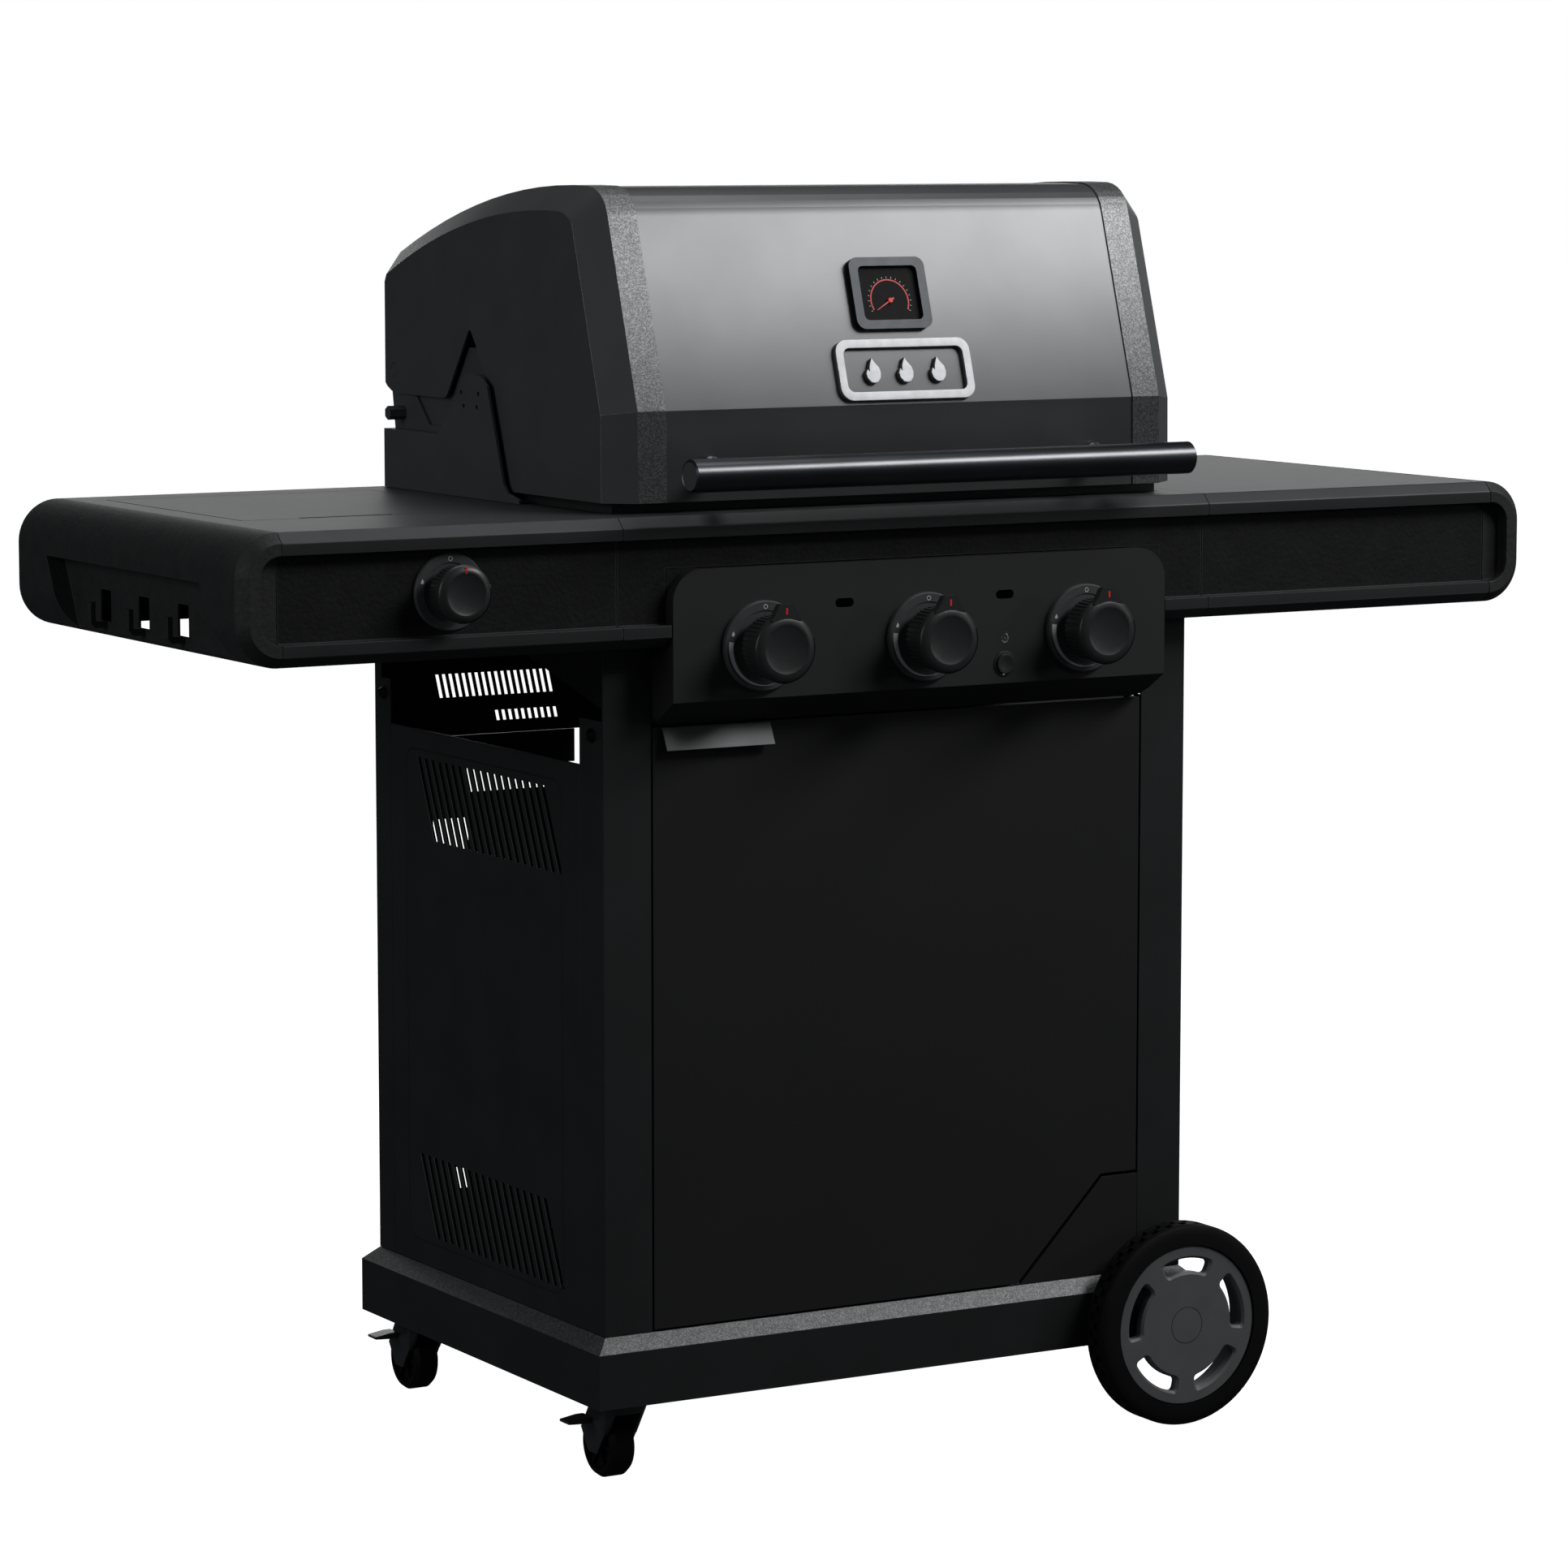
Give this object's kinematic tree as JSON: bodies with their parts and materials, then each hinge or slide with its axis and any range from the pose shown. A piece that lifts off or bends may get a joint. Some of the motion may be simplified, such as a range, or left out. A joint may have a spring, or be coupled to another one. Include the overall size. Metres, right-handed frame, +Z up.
{
  "type": "gas barbecue grill",
  "caption": "Gas barbecue on a cabinet cart, with a hinged hood, front control knobs, side shelves, a lidded side burner, big wheels and braked casters.",
  "frame": {"origin": "on the floor, under the middle of the outer box", "axes": "+X to the right along the shelves as seen from the front, +Y to the rear, +Z up"},
  "size_m": [1.332, 0.5892, 1.1481],
  "materials": {
    "black_steel": "satin powder coat",
    "deck_steel": "fine textured powder coat",
    "door_steel": "matt powder coat",
    "moulded_plastic": "textured",
    "graphite_steel": "satin graphite",
    "hammered_steel": "stippled metallic",
    "tube_chrome": "dark polished",
    "cast_iron": "matt enamel",
    "stainless": "brushed",
    "valve_brass": "machined",
    "knob_plastic": "satin",
    "rim_plastic": "satin",
    "tyre_plastic": "matt",
    "needle_red": "gloss"
  },
  "bodies": {
    "frame": {"base_plinth": "black_steel", "post_front_left": "black_steel", "post_front_right": "black_steel", "post_rear_left": "black_steel", "post_rear_right": "black_steel", "side_panel_left": "black_steel", "side_panel_right": "black_steel", "rear_panel_lower": "black_steel", "rear_panel_upper": "black_steel", "corner_panel": "door_steel", "console_centre": "deck_steel", "shelf_left": "deck_steel", "shelf_right": "deck_steel", "end_cap_left": "moulded_plastic", "end_cap_right": "moulded_plastic", "control_panel": "black_steel", "firebox": "black_steel", "flame_tamer": "stainless", "cooking_grate": "cast_iron", "warming_rack": "stainless", "gas_manifold": "stainless", "side_supply_tube": "stainless", "burner_left": "stainless", "burner_centre": "stainless", "burner_right": "stainless", "side_burner_pan": "black_steel", "side_burner_head": "stainless", "side_burner_grate": "cast_iron", "hinge_bracket_left": "black_steel", "hinge_bracket_right": "black_steel", "axle": "stainless"},
    "hood": {"hood_skin": "graphite_steel", "hood_end_left": "hammered_steel", "hood_end_right": "hammered_steel", "hood_handle": "tube_chrome", "gauge_housing": "graphite_steel"},
    "gauge_needle": {"gauge_needle": "needle_red"},
    "door": {"door": "door_steel", "door_handle": "black_steel"},
    "grease_tray": {"grease_tray": "stainless"},
    "side_burner_lid": {"side_burner_lid": "deck_steel"},
    "igniter_button": {"igniter_button": "knob_plastic"},
    "valve_stem_left": {"valve_stem_left": "valve_brass"},
    "knob_left": {"knob_left": "knob_plastic"},
    "valve_stem_centre": {"valve_stem_centre": "valve_brass"},
    "knob_centre": {"knob_centre": "knob_plastic"},
    "valve_stem_right": {"valve_stem_right": "valve_brass"},
    "knob_right": {"knob_right": "knob_plastic"},
    "valve_stem_side": {"valve_stem_side": "valve_brass"},
    "knob_side": {"knob_side": "knob_plastic"},
    "wheel_front": {"wheel_rim_front": "rim_plastic", "tyre_front": "tyre_plastic"},
    "caster_yoke_front": {"caster_yoke_front": "knob_plastic"},
    "caster_wheel_front": {"caster_wheel_front": "tyre_plastic"},
    "brake_lever_front": {"brake_lever_front": "knob_plastic"},
    "wheel_rear": {"wheel_rim_rear": "rim_plastic", "tyre_rear": "tyre_plastic"},
    "caster_yoke_rear": {"caster_yoke_rear": "knob_plastic"},
    "caster_wheel_rear": {"caster_wheel_rear": "tyre_plastic"},
    "brake_lever_rear": {"brake_lever_rear": "knob_plastic"}
  },
  "joints": [
    {"name": "hood_hinge", "type": "hinge", "parent": "frame", "child": "hood", "pos_m": [0, 0.2149, 0.9743], "axis": [1, 0, 0], "range_deg": [-90, 0]},
    {"name": "gauge_needle_turn", "type": "hinge", "parent": "hood", "child": "gauge_needle", "pos_m": [0, -0.18549, 1.04508], "axis": [0, -0.9537, 0.3007], "range_deg": [-240, 0]},
    {"name": "door_hinge", "type": "hinge", "parent": "frame", "child": "door", "pos_m": [0.2456, -0.2015, 0.41], "axis": [0, 0, 1], "range_deg": [0, 110]},
    {"name": "grease_tray_slide", "type": "slide", "parent": "frame", "child": "grease_tray", "axis": [0, 1, 0], "range_m": [0, 0.22]},
    {"name": "side_lid_hinge", "type": "hinge", "parent": "frame", "child": "side_burner_lid", "pos_m": [-0.4665, 0.187, 0.8653], "axis": [1, 0, 0], "range_deg": [-100, 0]},
    {"name": "igniter_press", "type": "slide", "parent": "frame", "child": "igniter_button", "axis": [0, 1, 0], "range_m": [0, 0.003], "stiffness_N_per_m": 500},
    {"name": "valve_push_left", "type": "slide", "parent": "frame", "child": "valve_stem_left", "axis": [0, 1, 0], "range_m": [0, 0.004], "stiffness_N_per_m": 600},
    {"name": "knob_turn_left", "type": "hinge", "parent": "valve_stem_left", "child": "knob_left", "pos_m": [-0.1673, -0.265, 0.7493], "axis": [0, -1, 0], "range_deg": [0, 210]},
    {"name": "valve_push_centre", "type": "slide", "parent": "frame", "child": "valve_stem_centre", "axis": [0, 1, 0], "range_m": [0, 0.004], "stiffness_N_per_m": 600},
    {"name": "knob_turn_centre", "type": "hinge", "parent": "valve_stem_centre", "child": "knob_centre", "pos_m": [0, -0.265, 0.7493], "axis": [0, -1, 0], "range_deg": [0, 210]},
    {"name": "valve_push_right", "type": "slide", "parent": "frame", "child": "valve_stem_right", "axis": [0, 1, 0], "range_m": [0, 0.004], "stiffness_N_per_m": 600},
    {"name": "knob_turn_right", "type": "hinge", "parent": "valve_stem_right", "child": "knob_right", "pos_m": [0.1673, -0.265, 0.7493], "axis": [0, -1, 0], "range_deg": [0, 210]},
    {"name": "valve_push_side", "type": "slide", "parent": "frame", "child": "valve_stem_side", "axis": [0, 1, 0], "range_m": [0, 0.004], "stiffness_N_per_m": 600},
    {"name": "knob_turn_side", "type": "hinge", "parent": "valve_stem_side", "child": "knob_side", "pos_m": [-0.4665, -0.25, 0.8087], "axis": [0, -1, 0], "range_deg": [0, 210]},
    {"name": "wheel_roll_front", "type": "hinge", "parent": "frame", "child": "wheel_front", "pos_m": [0.2814, -0.243, 0.0945], "axis": [0, 1, 0], "continuous": true},
    {"name": "wheel_roll_rear", "type": "hinge", "parent": "frame", "child": "wheel_rear", "pos_m": [0.2814, 0.2796, 0.0945], "axis": [0, 1, 0], "continuous": true},
    {"name": "caster_swivel_front", "type": "hinge", "parent": "frame", "child": "caster_yoke_front", "pos_m": [-0.272, -0.176, 0.0777], "axis": [0, 0, 1], "continuous": true},
    {"name": "caster_roll_front", "type": "hinge", "parent": "caster_yoke_front", "child": "caster_wheel_front", "pos_m": [-0.272, -0.152, 0.0295], "axis": [1, 0, 0], "continuous": true},
    {"name": "brake_press_front", "type": "hinge", "parent": "caster_yoke_front", "child": "brake_lever_front", "pos_m": [-0.294, -0.152, 0.055], "axis": [0, 1, 0], "range_deg": [-12, 0]},
    {"name": "caster_swivel_rear", "type": "hinge", "parent": "frame", "child": "caster_yoke_rear", "pos_m": [-0.272, 0.215, 0.0777], "axis": [0, 0, 1], "continuous": true},
    {"name": "caster_roll_rear", "type": "hinge", "parent": "caster_yoke_rear", "child": "caster_wheel_rear", "pos_m": [-0.272, 0.239, 0.0295], "axis": [1, 0, 0], "continuous": true},
    {"name": "brake_press_rear", "type": "hinge", "parent": "caster_yoke_rear", "child": "brake_lever_rear", "pos_m": [-0.294, 0.239, 0.055], "axis": [0, 1, 0], "range_deg": [-12, 0]}
  ]
}
